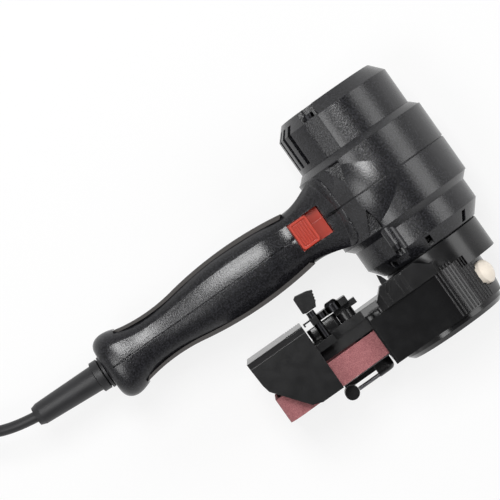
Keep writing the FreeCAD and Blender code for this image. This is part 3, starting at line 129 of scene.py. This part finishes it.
GLOW_SHARE = 0.8
SWEEP_REACH = 6.0
SWEEP_DROP = 0.2
WALL_TOP, ROOF_EDGE = 0.2, 0.85
WALL_BRIGHTNESS, ROOF_BRIGHTNESS = 0.75, 0.06
LIT_POINT = (-40, 0, 0)


def white_sweep():
    """Matt paper that glows for the camera and for gloss, and is plain paper to other light."""
    material = bpy.data.materials.new("white_sweep")
    material.use_nodes = True
    tree = material.node_tree
    tree.nodes.clear()
    paper = add_node(tree, "ShaderNodeBsdfDiffuse", inputs={"Color": linear("#FAFAFA")})
    glow = add_node(tree, "ShaderNodeEmission", inputs={"Color": (1, 1, 1, 1), "Strength": 1.0})
    path = add_node(tree, "ShaderNodeLightPath")
    seen = add_node(tree, "ShaderNodeMath", {"operation": "MAXIMUM"},
                    {0: path.outputs["Is Camera Ray"], 1: path.outputs["Is Glossy Ray"]})
    seen = add_node(tree, "ShaderNodeMath", {"operation": "MAXIMUM"},
                    {0: seen.outputs[0], 1: path.outputs["Is Transmission Ray"]})
    share = add_node(tree, "ShaderNodeMath", {"operation": "MULTIPLY"},
                     {0: seen.outputs[0], 1: GLOW_SHARE})
    mixed = add_node(tree, "ShaderNodeMixShader", inputs={
        0: share.outputs[0], 1: paper.outputs[0], 2: glow.outputs[0]})
    add_node(tree, "ShaderNodeOutputMaterial", inputs={"Surface": mixed.outputs[0]})
    return material


sweep_mesh = bpy.data.meshes.new("sweep")
sweep_mesh.from_pydata([(-SWEEP_REACH, -SWEEP_REACH, 0), (SWEEP_REACH, -SWEEP_REACH, 0),
                        (SWEEP_REACH, SWEEP_REACH, 0), (-SWEEP_REACH, SWEEP_REACH, 0)],
                       [], [(0, 1, 2, 3)])
sweep = bpy.data.objects.new("sweep", sweep_mesh)
sweep.location.z = -SWEEP_DROP * MM
sweep_mesh.materials.append(white_sweep())
bpy.context.scene.collection.objects.link(sweep)


def tent():
    """A white tent whose walls are lit from outside: bright low down and dark overhead."""
    world = bpy.data.worlds.new("tent")
    world.use_nodes = True
    tree = world.node_tree
    way = add_node(tree, "ShaderNodeSeparateXYZ", inputs={
        0: add_node(tree, "ShaderNodeTexCoord").outputs["Generated"]})
    wall = add_node(tree, "ShaderNodeMapRange", inputs={
        "Value": way.outputs["Z"], "From Min": WALL_TOP, "From Max": ROOF_EDGE,
        "To Min": WALL_BRIGHTNESS, "To Max": ROOF_BRIGHTNESS})
    path = add_node(tree, "ShaderNodeLightPath")
    shown = add_node(tree, "ShaderNodeMath", {"operation": "MAXIMUM"},
                     {0: wall.outputs[0], 1: path.outputs["Is Camera Ray"]})
    tree.links.new(shown.outputs[0], tree.nodes["Background"].inputs["Strength"])
    tree.nodes["Background"].inputs["Color"].default_value = linear("#FFFFFF")
    return world


bpy.context.scene.world = tent()


def soft_box(name, place, size, watts):
    """A lamp behind cloth, with its width and length in metres, that looks at the tool."""
    data = bpy.data.lights.new(name, "AREA")
    data.shape = "RECTANGLE"
    data.size, data.size_y = size
    data.energy = watts
    lamp = bpy.data.objects.new(name, data)
    lamp.location = place
    lamp.rotation_euler = (tool(*LIT_POINT) - Vector(place)).to_track_quat("-Z", "Y").to_euler()
    bpy.context.scene.collection.objects.link(lamp)


soft_box("key", tool(-60, 350, 1000), (0.28, 0.42), 6.0)
soft_box("left", tool(-520, -20, 900), (0.35, 0.35), 2.2)
soft_box("side", tool(900, -60, 800), (0.6, 0.6), 3.4)

bpy.context.scene.view_settings.view_transform = "Standard"

# Mains lead: a round two-core lead in a black PVC sheath, 5.4 mm thick and 1.83 m long. It leaves
# the handle's strain relief, drops to the surface and is stored in a coil of two layers.

LEAD_RADIUS = 2.7
LEAD_POINTS = ((-197.6, 1.9, 0), (-211, 3.6, -0.8), (-226.5, 11.5, -5.2), (-241, 20.8, -14),
               (-254.5, 29.5, -23.5), (-268.5, 37.5, -30.2))
COIL_ENTRY = (-300, 42)
RUN_IN, RUN_OUT = 16, 26
COIL_PITCH = 6.0
COIL_INNER = 22.9
TURNS = 4
POINTS_PER_TURN = 24
DIP = 1.5
CORNER_CUT = 0.7
A_LITTLE = 0.001
outer_radius = COIL_INNER + COIL_PITCH * TURNS
floor_line = -motor_axis.z / MM + LEAD_RADIUS


def coil_point(angle):
    """The coil's line: in on the surface, up one layer in half a turn, out on the second. The
    points lie a little outside it, because a NURBS line cuts their corners."""
    inward = 2 * math.pi * TURNS
    if angle <= inward:
        radius, rise = outer_radius - COIL_PITCH * angle / (2 * math.pi), 0
    elif angle <= inward + math.pi:
        share = (angle - inward) / math.pi
        radius = COIL_INNER - DIP * math.sin(math.pi * share)
        rise = COIL_PITCH * (1 - math.cos(math.pi * share)) / 2
    else:
        radius = COIL_INNER + COIL_PITCH * (angle - inward - math.pi) / (2 * math.pi)
        rise = COIL_PITCH
    radius /= math.cos(math.pi / POINTS_PER_TURN) ** CORNER_CUT
    return Vector((-radius * math.sin(angle), radius * math.cos(angle), rise))


entry_way = (coil_point(A_LITTLE) - coil_point(0)).normalized()
entry = Vector((*COIL_ENTRY, floor_line))
coil_centre = entry + entry_way * 2 * LEAD_RADIUS - Vector((0, outer_radius, 0))
route = [Vector(point) for point in LEAD_POINTS] + [entry - entry_way * RUN_IN, entry]
steps = 2 * TURNS * POINTS_PER_TURN
route += [coil_centre + coil_point(2 * math.pi * step / POINTS_PER_TURN)
          for step in range(steps + 1)]
coil_end = 4 * math.pi * TURNS
exit_way = coil_point(coil_end) - coil_point(coil_end - A_LITTLE)
exit_way.z = 0
route.append(route[-1] + exit_way.normalized() * RUN_OUT)

lead_curve = bpy.data.curves.new("mains_lead", "CURVE")
lead_curve.dimensions = "3D"
line = lead_curve.splines.new("NURBS")
line.points.add(len(route) - 1)
for point, place in zip(line.points, route):
    point.co = (*tool(*place), 1)
    point.radius = LEAD_RADIUS * MM
line.order_u = 3
line.use_endpoint_u = True
lead_curve.bevel_depth = 1
lead_curve.bevel_resolution = 6
lead_curve.use_fill_caps = True
lead = bpy.data.objects.new("mains_lead", lead_curve)
bpy.context.scene.collection.objects.link(lead)

# The coil is held by a tie of woven nylon tape, which passes once round all its turns.

TIE_ANGLE = math.radians(205)
TIE_WIDTH, TIE_THICKNESS, TIE_SLACK = 9, 0.8, 0.9
TIE_STEPS = 48
FLOOR_GAP = 0.05
tie_way = Vector((-math.sin(TIE_ANGLE), math.cos(TIE_ANGLE), 0))
tie_across = Vector((-tie_way.y, tie_way.x, 0))
tie_middle = coil_centre + tie_way * (COIL_INNER + outer_radius) / 2
tie_half = (outer_radius - COIL_INNER) / 2
tie_bow = LEAD_RADIUS + TIE_SLACK
tie_ring = []
for step in range(TIE_STEPS):
    turn = 2 * math.pi * step / TIE_STEPS
    side = round(math.cos(turn), 9)
    reach = math.copysign(tie_half, side) if side else 0
    lift = (COIL_PITCH if math.sin(turn) > 0 else 0) - COIL_PITCH / 2
    tie_ring.append((reach + tie_bow * math.cos(turn), lift + tie_bow * math.sin(turn)))
tie_build = bmesh.new()
loops = []
for skin in (0, TIE_THICKNESS):
    for edge in (-TIE_WIDTH / 2, TIE_WIDTH / 2):
        loop = []
        for along, rise in tie_ring:
            shrink = 1 - skin / math.hypot(along, rise)
            level = max(tie_middle.z + COIL_PITCH / 2 + rise * shrink,
                        -motor_axis.z / MM + FLOOR_GAP)
            spot = tie_middle + tie_way * along * shrink + tie_across * edge
            loop.append(tie_build.verts.new(tool(spot.x, spot.y, level)))
        loops.append(loop)
for first, second in ((0, 1), (1, 3), (3, 2), (2, 0)):
    for place in range(TIE_STEPS):
        after = (place + 1) % TIE_STEPS
        tie_build.faces.new((loops[first][place], loops[first][after],
                             loops[second][after], loops[second][place]))
bmesh.ops.recalc_face_normals(tie_build, faces=tie_build.faces)
coil_tie_mesh = bpy.data.meshes.new("coil_tie")
tie_build.to_mesh(coil_tie_mesh)
tie_build.free()
coil_tie = bpy.data.objects.new("coil_tie", coil_tie_mesh)
bpy.context.scene.collection.objects.link(coil_tie)
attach(coil_tie, "root")


def woven_tape():
    """Woven nylon tape: a dark plain weave, drawn 0.8 mm wide, twice the real one, to show."""
    material, tree, shader = new_material("woven_nylon_tape")
    place = add_node(tree, "ShaderNodeTexCoord")
    weave = add_node(tree, "ShaderNodeTexChecker", inputs={
        "Vector": place.outputs["Object"], "Scale": 1 / (0.8 * MM),
        "Color1": linear("#1D1D1F"), "Color2": linear("#37373A")})
    bump = add_node(tree, "ShaderNodeBump", inputs={
        "Strength": 0.5, "Distance": 0.15 * MM, "Height": weave.outputs["Fac"]})
    shader.inputs["Roughness"].default_value = 0.75
    tree.links.new(weave.outputs["Color"], shader.inputs["Base Color"])
    tree.links.new(bump.outputs[0], shader.inputs["Normal"])
    return material


coil_tie_mesh.materials.append(woven_tape())
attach(lead, "root")
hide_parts("cord_free", "cord_coil")


def pvc_sheath():
    """Extruded PVC: a dull satin with faint drag marks and a little dust."""
    material, tree, shader = new_material("pvc_sheath")
    place = add_node(tree, "ShaderNodeTexCoord")
    mottle = add_node(tree, "ShaderNodeTexNoise", inputs={
        "Vector": place.outputs["Object"], "Scale": 1 / (6 * MM), "Detail": 4.0})
    colour = add_node(tree, "ShaderNodeMixRGB", inputs={
        0: mottle.outputs[0], 1: linear("#1B1B1D"), 2: linear("#2A2A2C")})
    gloss = add_node(tree, "ShaderNodeMapRange", inputs={
        "Value": mottle.outputs[0], "To Min": 0.38, "To Max": 0.55})
    grain = add_node(tree, "ShaderNodeTexNoise", inputs={
        "Vector": place.outputs["Object"], "Scale": 1 / (0.5 * MM), "Detail": 2.0})
    bump = add_node(tree, "ShaderNodeBump", inputs={
        "Strength": 0.25, "Distance": 0.05 * MM, "Height": grain.outputs[0]})
    tree.links.new(colour.outputs[0], shader.inputs["Base Color"])
    tree.links.new(gloss.outputs[0], shader.inputs["Roughness"])
    tree.links.new(bump.outputs[0], shader.inputs["Normal"])
    return material


sheath = pvc_sheath()
lead_curve.materials.append(sheath)
wear(sheath, "strain_relief", "inner_lead", "plug_body")

# Housing: two halves moulded in black ABS and screwed together on the motor's mid plane, with a
# vented cap behind the motor. The mould was spark eroded, which leaves an even sparkling grain.


def spark_textured_abs():
    """Moulded ABS with a spark-eroded grain: dark, with fine flecks painted lighter as a painted
    glint of the grain. The real grain is 0.3 mm wide, and is drawn three times as coarse so that
    it shows."""
    material, tree, shader = new_material("spark_textured_abs")
    place = add_node(tree, "ShaderNodeTexCoord")
    grain = add_node(tree, "ShaderNodeTexNoise", inputs={
        "Vector": place.outputs["Object"], "Scale": 1 / (0.9 * MM), "Detail": 3.0,
        "Roughness": 0.65})
    patches = add_node(tree, "ShaderNodeTexNoise", inputs={
        "Vector": place.outputs["Object"], "Scale": 1 / (14 * MM), "Detail": 3.0})
    # Painted glint: the grain's lighter flecks are painted into the base colour, standing in for
    # its sparkle.
    painted_glint_specks = add_node(tree, "ShaderNodeMapRange", inputs={
        "Value": grain.outputs[0], "From Min": 0.38, "From Max": 0.66})
    colour = add_node(tree, "ShaderNodeMixRGB", inputs={
        0: painted_glint_specks.outputs[0], 1: linear("#0E0E10"), 2: linear("#2A2A2E")})
    gloss = add_node(tree, "ShaderNodeMapRange", inputs={
        "Value": patches.outputs[0], "To Min": 0.2, "To Max": 0.3})
    bump = add_node(tree, "ShaderNodeBump", inputs={
        "Strength": 0.7, "Distance": 0.1 * MM, "Height": grain.outputs[0],
        "Normal": rounded_edges(tree, 0.35)})
    shader.inputs["IOR"].default_value = 1.54
    tree.links.new(colour.outputs[0], shader.inputs["Base Color"])
    tree.links.new(gloss.outputs[0], shader.inputs["Roughness"])
    tree.links.new(bump.outputs[0], shader.inputs["Normal"])
    return material


housing_finish = spark_textured_abs()
wear(housing_finish, "rear_cap")

# Neck of the housing: behind the switch both halves widen in one hollow curve up to the barrel.
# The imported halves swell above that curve, so the shown ones are pressed down onto it, and the
# end of the switch's slot, which the swelling covers, is opened.

NECK_START, NECK_ROOT, NECK_END = -52.0, -28.0, -23.5
NECK_LOW, NECK_RISE, NECK_CURVE = 14.4, 7.0, 1.9
NECK_REAR, NECK_FRONT, NECK_SPREAD = 13.3, 14.5, 11.0
SEAM_HALF, SEAM_DEPTH = 0.31, 0.5
BARREL_RADIUS = 35.05
SLOT_START, SLOT_END, SLOT_HALF = -50.3, -33.5, 7.3
SKIN_LOW, SKIN_TILT, CUT_MARGIN = 13.4, 0.2, 8
SECTION = ((0.0, 1.0), (0.2, 0.991), (0.4, 0.964), (0.56, 0.93), (0.75, 0.84), (0.9, 0.68),
           (0.98, 0.52), (1.0, 0.42))


def neck_height(x, y):
    """How far the neck reaches above the motor's axis at x, y, or None beside the neck."""
    share = (x - NECK_START) / (NECK_ROOT - NECK_START)
    high = NECK_LOW + NECK_RISE * share ** NECK_CURVE
    half = (NECK_REAR if y > 0 else NECK_FRONT) + NECK_SPREAD * share ** 2
    across = abs(y) / half
    if across >= 1:
        return None
    for (near, above), (far, below) in zip(SECTION, SECTION[1:]):
        if across <= far:
            high *= above + (below - above) * (across - near) / (far - near)
            break
    if abs(y) < SEAM_HALF:
        high -= SEAM_DEPTH
    barrel = math.sqrt(max(BARREL_RADIUS ** 2 - x ** 2, 0))
    return max(high, barrel)


def over_slot(face, margin):
    """Whether a face of the neck's skin has its middle over the switch's slot."""
    middle = (face.calc_center_median() - motor_axis) / MM
    return (abs(face.normal.z) > SKIN_TILT and middle.z > SKIN_LOW
            and abs(middle.y) < SLOT_HALF + margin
            and SLOT_START - margin < middle.x < SLOT_END + margin)


def open_slot(build):
    """Cuts the skin along the slot's edges, and takes out what lies over its opening."""
    for place, way in (((SLOT_END, 0, 0), (1, 0, 0)), ((0, SLOT_HALF, 0), (0, 1, 0)),
                       ((0, -SLOT_HALF, 0), (0, 1, 0))):
        skin = [face for face in build.faces if over_slot(face, CUT_MARGIN)]
        edges = {edge for face in skin for edge in face.edges}
        corners = {corner for face in skin for corner in face.verts}
        bmesh.ops.bisect_plane(build, geom=[*corners, *edges, *skin], plane_co=tool(*place),
                               plane_no=way)
    bmesh.ops.delete(build, geom=[face for face in build.faces if over_slot(face, 0)],
                     context="FACES")


for shell_name, node in (("rear_shell", "rear_housing"), ("front_shell", "front_housing")):
    shell_mesh = parts[node].data.copy()
    for corner in shell_mesh.vertices:
        x, y, z = (corner.co - motor_axis) / MM
        if NECK_START < x < NECK_END:
            limit = neck_height(x, y)
            if limit is not None and abs(z) > limit:
                corner.co = tool(x, y, math.copysign(limit, z))
    build = bmesh.new()
    build.from_mesh(shell_mesh)
    open_slot(build)
    build.to_mesh(shell_mesh)
    build.free()
    shell_mesh.materials.clear()
    shell_mesh.materials.append(housing_finish)
    shell = bpy.data.objects.new(shell_name, shell_mesh)
    bpy.context.scene.collection.objects.link(shell)
    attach(shell, "root")
    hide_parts(node)

# Soft grips: thermoplastic rubber moulded into seats along the handle's two sides.


def soft_rubber():
    """Moulded soft rubber: matt, a shade lighter than the housing, with a fine even grain."""
    material, tree, shader = new_material("soft_rubber")
    place = add_node(tree, "ShaderNodeTexCoord")
    grain = add_node(tree, "ShaderNodeTexNoise", inputs={
        "Vector": place.outputs["Object"], "Scale": 1 / (0.6 * MM), "Detail": 2.0})
    colour = add_node(tree, "ShaderNodeMixRGB", inputs={
        0: grain.outputs[0], 1: linear("#322F2D"), 2: linear("#464240")})
    bump = add_node(tree, "ShaderNodeBump", inputs={
        "Strength": 0.4, "Distance": 0.08 * MM, "Height": grain.outputs[0],
        "Normal": rounded_edges(tree, 0.4)})
    shader.inputs["Roughness"].default_value = 0.62
    tree.links.new(colour.outputs[0], shader.inputs["Base Color"])
    tree.links.new(bump.outputs[0], shader.inputs["Normal"])
    return material


wear(soft_rubber(), "grip_pad_rear", "grip_pad_front")

# Cassette mouldings: glass-filled nylon, smooth from a polished mould.


def smooth_plastic(name, dark, light, low, high):
    """Smooth moulded plastic: a satin sheen with flow marks and faint handling scuffs."""
    material, tree, shader = new_material(name)
    place = add_node(tree, "ShaderNodeTexCoord")
    flow = add_node(tree, "ShaderNodeTexNoise", inputs={
        "Vector": place.outputs["Object"], "Scale": 1 / (5 * MM), "Detail": 5.0})
    colour = add_node(tree, "ShaderNodeMixRGB", inputs={
        0: flow.outputs[0], 1: linear(dark), 2: linear(light)})
    gloss = add_node(tree, "ShaderNodeMapRange", inputs={
        "Value": flow.outputs[0], "To Min": low, "To Max": high})
    grain = add_node(tree, "ShaderNodeTexNoise", inputs={
        "Vector": place.outputs["Object"], "Scale": 1 / (0.5 * MM), "Detail": 2.0})
    bump = add_node(tree, "ShaderNodeBump", inputs={
        "Strength": 0.2, "Distance": 0.04 * MM, "Height": grain.outputs[0],
        "Normal": rounded_edges(tree, 0.25)})
    tree.links.new(colour.outputs[0], shader.inputs["Base Color"])
    tree.links.new(gloss.outputs[0], shader.inputs["Roughness"])
    tree.links.new(bump.outputs[0], shader.inputs["Normal"])
    return material


nylon = smooth_plastic("satin_nylon", "#0F0F10", "#19191A", 0.2, 0.3)
wear(nylon, "swivel_collar", "cassette_frame", "cassette_saddle", "blade_guide",
     "tracking_knob", "tension_carriage", "tracking_arm", "tracking_bracket", "tension_lever",
     "lever_knob", "switch_body", "cooling_fan")
cover_finish = smooth_plastic("semi_gloss_nylon", "#0E0E0F", "#181819", 0.14, 0.2)
wear(cover_finish, "belt_cover", "cover_disc")

# Ribs on the cover's round end, for the thumb that draws the cover off: they are moulded with it.
# They lie along the motor's axis, sunk a little into the cover.

COVER_CENTRE, COVER_RADIUS = -11.5, 28.0
RIBS, RIB_START, RIB_STEP = 12, 8, 3.8
RIB_RADIUS, RIB_SUNK, RIB_MIDDLE, RIB_HALF = 0.5, 0.1, -61.0, 12.4
RIB_FACETS = 8
SMOOTH_ANGLE = math.radians(40)


def extruded(name, outline, way, half, rounding):
    """A piece with a closed outline of points, thickened both ways, its edges rounded."""
    build = bmesh.new()
    sides = [[build.verts.new(Vector(point) + Vector(way) * reach * MM) for point in outline]
             for reach in (-half, half)]
    build.faces.new(sides[0])
    build.faces.new(reversed(sides[1]))
    for place in range(len(outline)):
        after = (place + 1) % len(outline)
        build.faces.new((sides[0][place], sides[1][place], sides[1][after], sides[0][after]))
    bmesh.ops.recalc_face_normals(build, faces=build.faces)
    if rounding:
        bmesh.ops.bevel(build, geom=build.edges[:], offset=rounding * MM, segments=3,
                        affect="EDGES", profile=0.5)
    mesh = bpy.data.meshes.new(name)
    build.to_mesh(mesh)
    build.free()
    mesh.shade_smooth()
    mesh.set_sharp_from_angle(angle=SMOOTH_ANGLE)
    piece = bpy.data.objects.new(name, mesh)
    bpy.context.scene.collection.objects.link(piece)
    return piece


for number in range(RIBS):
    turn = math.radians(RIB_START + RIB_STEP * number)
    rib_outline = []
    for part in range(RIB_FACETS + 1):
        bend = math.pi * part / RIB_FACETS
        out, aside = RIB_RADIUS * math.sin(bend) - RIB_SUNK, RIB_RADIUS * math.cos(bend)
        radius = COVER_RADIUS + out
        rib_outline.append(tool(
            COVER_CENTRE + radius * math.sin(turn) + aside * math.cos(turn), RIB_MIDDLE,
            radius * math.cos(turn) - aside * math.sin(turn)))
    rib = extruded(f"cover_rib_{number + 1}", rib_outline, (0, 1, 0), RIB_HALF, 0)
    rib.data.materials.append(cover_finish)
    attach(rib, "cover")

# Web of the cassette's frame, which carries the tracking bracket beside the guide: a solid foot
# moulded with the frame, with a sloping end.

WEB_MIDDLE, WEB_HALF, WEB_ROUNDING = -41.3, 3.1, 0.4
WEB_CORNERS = ((-70.9, 9.6), (-55.5, 9.6), (-55.5, 15.2), (-57.3, 17.2), (-69.4, 17.2),
               (-70.9, 15.6))
web_outline = [tool(x, WEB_MIDDLE, z) for x, z in WEB_CORNERS]
frame_web = extruded("frame_web", web_outline, (0, 1, 0), WEB_HALF, WEB_ROUNDING)
frame_web.data.materials.append(nylon)
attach(frame_web, "cassette")

# Controls in colour: the switch's red thumb piece and the ivory button that lets the cover off.

wear(smooth_plastic("red_abs", "#B63522", "#C5402C", 0.2, 0.28), "switch_slider")
wear(smooth_plastic("ivory_abs", "#F0E4D4", "#F7EEE1", 0.3, 0.4), "release_button")

# Abrasive belt: aluminium oxide grit on a cloth backing, which wears dusty and lighter in use.


def grit_cloth():
    """Grit in resin on cloth: dusty maroon grains of many shades with sharp relief."""
    material, tree, shader = new_material("grit_cloth")
    place = add_node(tree, "ShaderNodeTexCoord")
    grains = add_node(tree, "ShaderNodeTexVoronoi", inputs={
        "Vector": place.outputs["Object"], "Scale": 1 / (0.3 * MM)})
    ramp = add_node(tree, "ShaderNodeValToRGB", inputs={"Fac": grains.outputs["Color"]})
    ramp.color_ramp.elements[0].color = linear("#84464A")
    ramp.color_ramp.elements[1].color = linear("#BE7E80")
    bump = add_node(tree, "ShaderNodeBump", inputs={
        "Strength": 0.8, "Distance": 0.15 * MM, "Height": grains.outputs["Distance"]})
    shader.inputs["Roughness"].default_value = 0.8
    tree.links.new(ramp.outputs[0], shader.inputs["Base Color"])
    tree.links.new(bump.outputs[0], shader.inputs["Normal"])
    return material


grit = grit_cloth()

# Metal parts: ground steel shafts and axles, blackened screws, copper windings, turned pulleys.


def metal(name, colour, roughness, grain_width):
    """Bare or coated metal with fine tool marks that break up its reflections."""
    material, tree, shader = new_material(name)
    place = add_node(tree, "ShaderNodeTexCoord")
    marks = add_node(tree, "ShaderNodeTexNoise", inputs={
        "Vector": place.outputs["Object"], "Scale": 1 / (grain_width * MM), "Detail": 3.0})
    gloss = add_node(tree, "ShaderNodeMapRange", inputs={
        "Value": marks.outputs[0], "To Min": roughness - 0.06, "To Max": roughness + 0.1})
    shader.inputs["Base Color"].default_value = linear(colour)
    shader.inputs["Metallic"].default_value = 1
    bump = add_node(tree, "ShaderNodeBump", inputs={
        "Strength": 0.2, "Distance": 0.02 * MM, "Height": marks.outputs[0]})
    tree.links.new(gloss.outputs[0], shader.inputs["Roughness"])
    tree.links.new(bump.outputs[0], shader.inputs["Normal"])
    return material


ground_steel = metal("ground_steel", "#C6C6C8", 0.28, 0.6)
wear(ground_steel, "armature_shaft", "rear_bearing", "front_bearing", "upper_axle", "lower_axle",
     "keeper_plate", "swivel_retainer")
wear(metal("drawn_steel", "#77777B", 0.38, 0.6), "lever_rod")
wear(metal("black_oxide", "#2A2A2C", 0.28, 0.5), "housing_screws", "cap_screws",
     "cassette_screws", "bracket_screw", "pulley_screw", "tracking_screw")
wear(metal("laminated_iron", "#77777A", 0.5, 0.8), "field_core", "armature_core")
wear(metal("enamelled_copper", "#B5653A", 0.3, 0.7), "field_coils", "armature_windings",
     "commutator")
wear(metal("folded_brass", "#C9A657", 0.35, 0.7), "brush_holders")
wear(metal("carbon", "#2B2B2D", 0.6, 0.5), "carbon_brushes")
wear(metal("turned_aluminium", "#C9CACC", 0.3, 0.4), "drive_pulley", "upper_idler",
     "lower_idler")
wear(metal("nickel_plate", "#CFCBBE", 0.22, 0.6), "plug_pins")

# Belt and tension spring: what gives way as the sprung carriage draws back. In the tool the cloth
# belt keeps to its drive pulley and follows the idlers, and the wire spring shortens towards the
# end that the carriage carries. Each is shown as a copy of its node, the spring carried by the
# carriage and the belt by the cassette.


def squashed(name, node, body, material):
    """Copy of a node in its own finish, carried by a body, with the node itself hidden."""
    piece = bpy.data.objects.new(name, parts[node].data.copy())
    bpy.context.scene.collection.objects.link(piece)
    piece.data.materials.clear()
    piece.data.materials.append(material)
    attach(piece, body)
    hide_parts(node)
    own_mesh(piece)


squashed("spring_wire", "tension_spring", "carriage", ground_steel)
squashed("belt_loop", "abrasive_belt", "cassette", grit)

bpy.context.view_layer.update()
